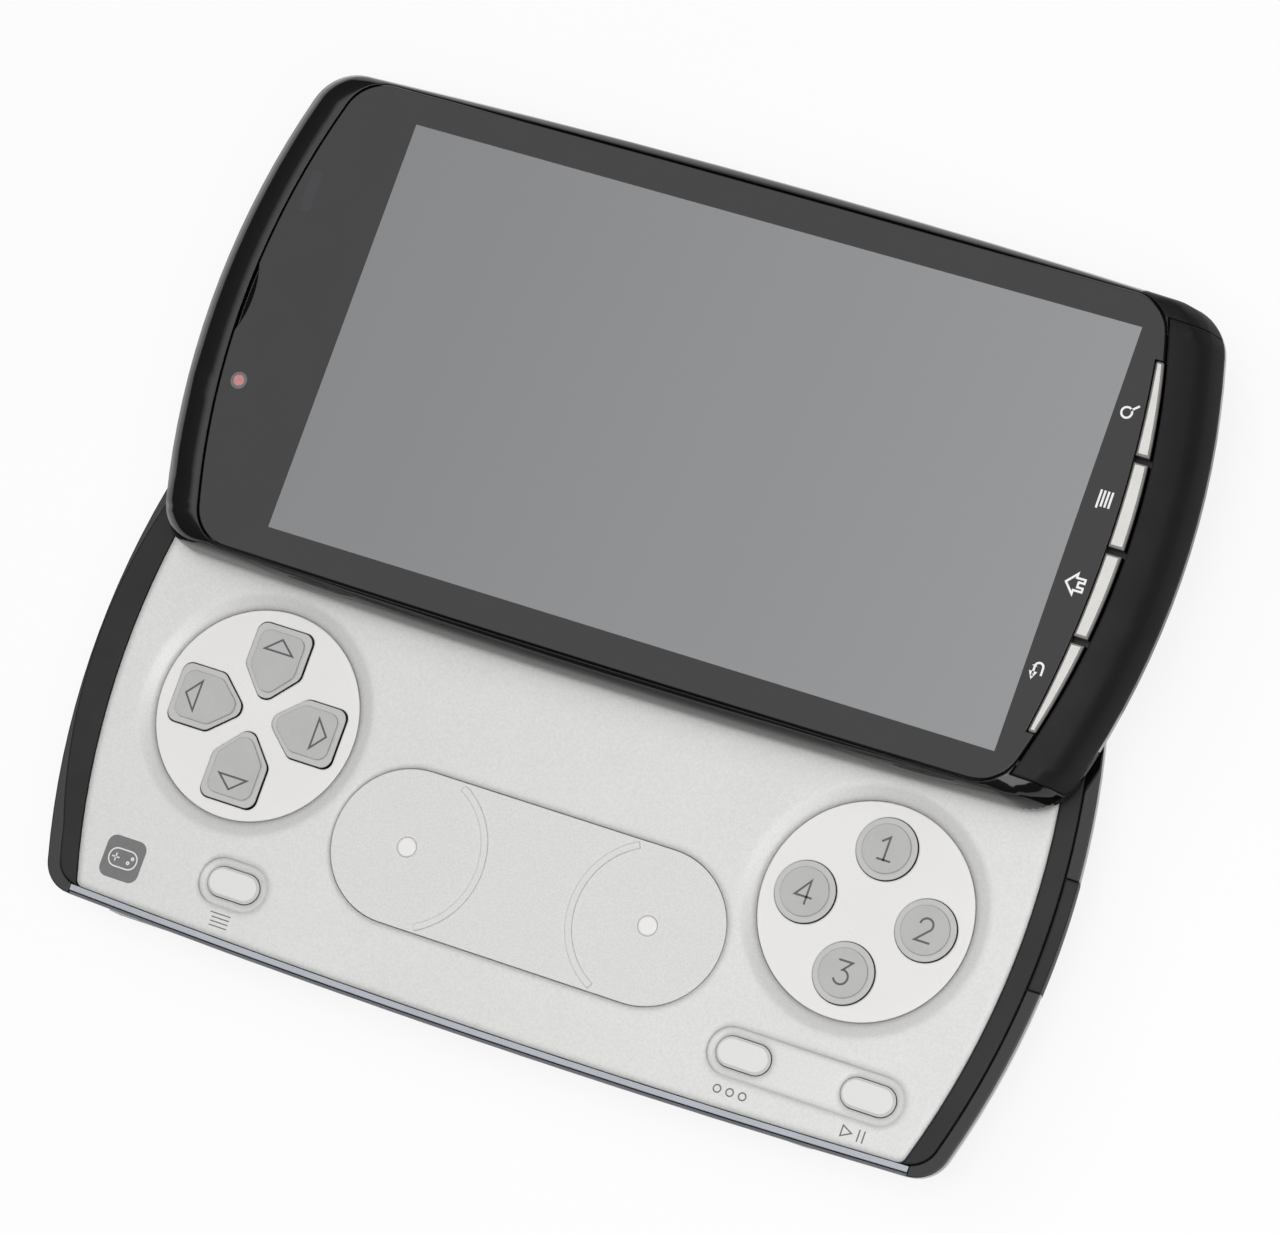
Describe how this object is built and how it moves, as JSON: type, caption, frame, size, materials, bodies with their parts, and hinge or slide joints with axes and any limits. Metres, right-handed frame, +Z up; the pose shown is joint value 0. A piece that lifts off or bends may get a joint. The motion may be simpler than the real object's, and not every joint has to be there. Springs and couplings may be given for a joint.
{
  "type": "slider phone",
  "caption": "Slider phone with a touch screen half that slides off a game control deck with direction keys, four round keys and a touch pad.",
  "frame": {"origin": "bottom centre of the base half, on the face it lies on", "axes": "+X along the long side towards the front keys' end, +Y the way the screen half slides open, +Z up out of the screen"},
  "size_m": [0.1188, 0.1012, 0.0161],
  "materials": {
    "gloss_black": "polished",
    "matt_charcoal": "soft touch",
    "silver_plate": "satin",
    "pearl": "pearl",
    "key_grey": "satin",
    "pad_silver": "fine grain",
    "front_glass": "polished",
    "display": "satin",
    "soft_key": "satin",
    "side_key": "polished",
    "steel": "satin",
    "contact_steel": "bright",
    "chassis_alloy": "satin",
    "board_green": "lacquered",
    "carrier_white": "matt",
    "nylon": "matt",
    "battery_wrap": "matt",
    "lens_glass": "polished",
    "module_black": "matt",
    "flash_clear": "clear"
  },
  "bodies": {
    "base": {"battery_cover": "gloss_black", "base_frame": "gloss_black", "left_grip": "matt_charcoal", "right_grip": "matt_charcoal", "end_insert": "matt_charcoal", "edge_trim": "silver_plate", "gamepad_plate": "silver_plate", "dpad_disc": "pearl", "action_disc": "pearl", "key_carrier": "carrier_white", "touchpad": "pad_silver", "chassis": "chassis_alloy", "battery": "battery_wrap", "main_board": "board_green", "shield_cans": "steel", "key_domes": "contact_steel", "rear_camera": "module_black", "camera_window": "lens_glass", "flash_lamp": "flash_clear", "speaker_left": "module_black", "speaker_right": "module_black", "vibration_motor": "steel", "card_holder": "steel", "headphone_socket": "module_black", "usb_socket": "steel", "side_switches": "contact_steel", "slide_bracket": "steel", "runner_left": "nylon", "runner_right": "nylon"},
    "screen": {"rail_plate": "steel", "slider_tray": "gloss_black", "front_bezel": "gloss_black", "end_cap": "matt_charcoal", "touch_glass": "front_glass", "display_module": "display", "earpiece": "module_black", "front_camera": "module_black", "key_board": "board_green"},
    "dpad_up": {"dpad_up": "key_grey"},
    "dpad_left": {"dpad_left": "key_grey"},
    "dpad_down": {"dpad_down": "key_grey"},
    "dpad_right": {"dpad_right": "key_grey"},
    "key_one": {"key_one": "key_grey"},
    "key_two": {"key_two": "key_grey"},
    "key_three": {"key_three": "key_grey"},
    "key_four": {"key_four": "key_grey"},
    "menu_key": {"menu_key": "pearl"},
    "select_key": {"select_key": "pearl"},
    "start_key": {"start_key": "pearl"},
    "trigger_left": {"trigger_left": "side_key"},
    "trigger_right": {"trigger_right": "side_key"},
    "volume_rocker": {"volume_rocker": "side_key"},
    "power_key": {"power_key": "side_key"},
    "front_key_search": {"front_key_search": "soft_key"},
    "front_key_menu": {"front_key_menu": "soft_key"},
    "front_key_home": {"front_key_home": "soft_key"},
    "front_key_back": {"front_key_back": "soft_key"}
  },
  "joints": [
    {"name": "screen_slide", "type": "slide", "parent": "base", "child": "screen", "axis": [0, -1, 0], "range_m": [0, 0.04085]},
    {"name": "dpad_up_press", "type": "slide", "parent": "base", "child": "dpad_up", "axis": [0, 0, -1], "range_m": [0, 0.00025], "stiffness_N_per_m": 200, "springref_m": -0.0005},
    {"name": "dpad_left_press", "type": "slide", "parent": "base", "child": "dpad_left", "axis": [0, 0, -1], "range_m": [0, 0.00025], "stiffness_N_per_m": 200, "springref_m": -0.0005},
    {"name": "dpad_down_press", "type": "slide", "parent": "base", "child": "dpad_down", "axis": [0, 0, -1], "range_m": [0, 0.00025], "stiffness_N_per_m": 200, "springref_m": -0.0005},
    {"name": "dpad_right_press", "type": "slide", "parent": "base", "child": "dpad_right", "axis": [0, 0, -1], "range_m": [0, 0.00025], "stiffness_N_per_m": 200, "springref_m": -0.0005},
    {"name": "key_one_press", "type": "slide", "parent": "base", "child": "key_one", "axis": [0, 0, -1], "range_m": [0, 0.00025], "stiffness_N_per_m": 200, "springref_m": -0.0005},
    {"name": "key_two_press", "type": "slide", "parent": "base", "child": "key_two", "axis": [0, 0, -1], "range_m": [0, 0.00025], "stiffness_N_per_m": 200, "springref_m": -0.0005},
    {"name": "key_three_press", "type": "slide", "parent": "base", "child": "key_three", "axis": [0, 0, -1], "range_m": [0, 0.00025], "stiffness_N_per_m": 200, "springref_m": -0.0005},
    {"name": "key_four_press", "type": "slide", "parent": "base", "child": "key_four", "axis": [0, 0, -1], "range_m": [0, 0.00025], "stiffness_N_per_m": 200, "springref_m": -0.0005},
    {"name": "menu_key_press", "type": "slide", "parent": "base", "child": "menu_key", "axis": [0, 0, -1], "range_m": [0, 0.00025], "stiffness_N_per_m": 200, "springref_m": -0.0005},
    {"name": "select_key_press", "type": "slide", "parent": "base", "child": "select_key", "axis": [0, 0, -1], "range_m": [0, 0.00025], "stiffness_N_per_m": 200, "springref_m": -0.0005},
    {"name": "start_key_press", "type": "slide", "parent": "base", "child": "start_key", "axis": [0, 0, -1], "range_m": [0, 0.00025], "stiffness_N_per_m": 200, "springref_m": -0.0005},
    {"name": "trigger_left_press", "type": "slide", "parent": "base", "child": "trigger_left", "axis": [0, -1, 0], "range_m": [0, 0.0005], "stiffness_N_per_m": 200, "springref_m": -0.0005},
    {"name": "trigger_right_press", "type": "slide", "parent": "base", "child": "trigger_right", "axis": [0, -1, 0], "range_m": [0, 0.0005], "stiffness_N_per_m": 200, "springref_m": -0.0005},
    {"name": "volume_rocker_rock", "type": "hinge", "parent": "base", "child": "volume_rocker", "pos_m": [0, 0.02758, 0.0056], "axis": [0, 0, 1], "range_deg": [-1.5, 1.5], "stiffness_Nm_per_rad": 0.02},
    {"name": "power_key_press", "type": "slide", "parent": "base", "child": "power_key", "axis": [1, 0, 0], "range_m": [0, 0.0003], "stiffness_N_per_m": 200, "springref_m": -0.0005},
    {"name": "front_key_search_press", "type": "slide", "parent": "screen", "child": "front_key_search", "axis": [0, 0, -1], "range_m": [0, 0.00025], "stiffness_N_per_m": 200, "springref_m": -0.0005},
    {"name": "front_key_menu_press", "type": "slide", "parent": "screen", "child": "front_key_menu", "axis": [0, 0, -1], "range_m": [0, 0.00025], "stiffness_N_per_m": 200, "springref_m": -0.0005},
    {"name": "front_key_home_press", "type": "slide", "parent": "screen", "child": "front_key_home", "axis": [0, 0, -1], "range_m": [0, 0.00025], "stiffness_N_per_m": 200, "springref_m": -0.0005},
    {"name": "front_key_back_press", "type": "slide", "parent": "screen", "child": "front_key_back", "axis": [0, 0, -1], "range_m": [0, 0.00025], "stiffness_N_per_m": 200, "springref_m": -0.0005}
  ]
}
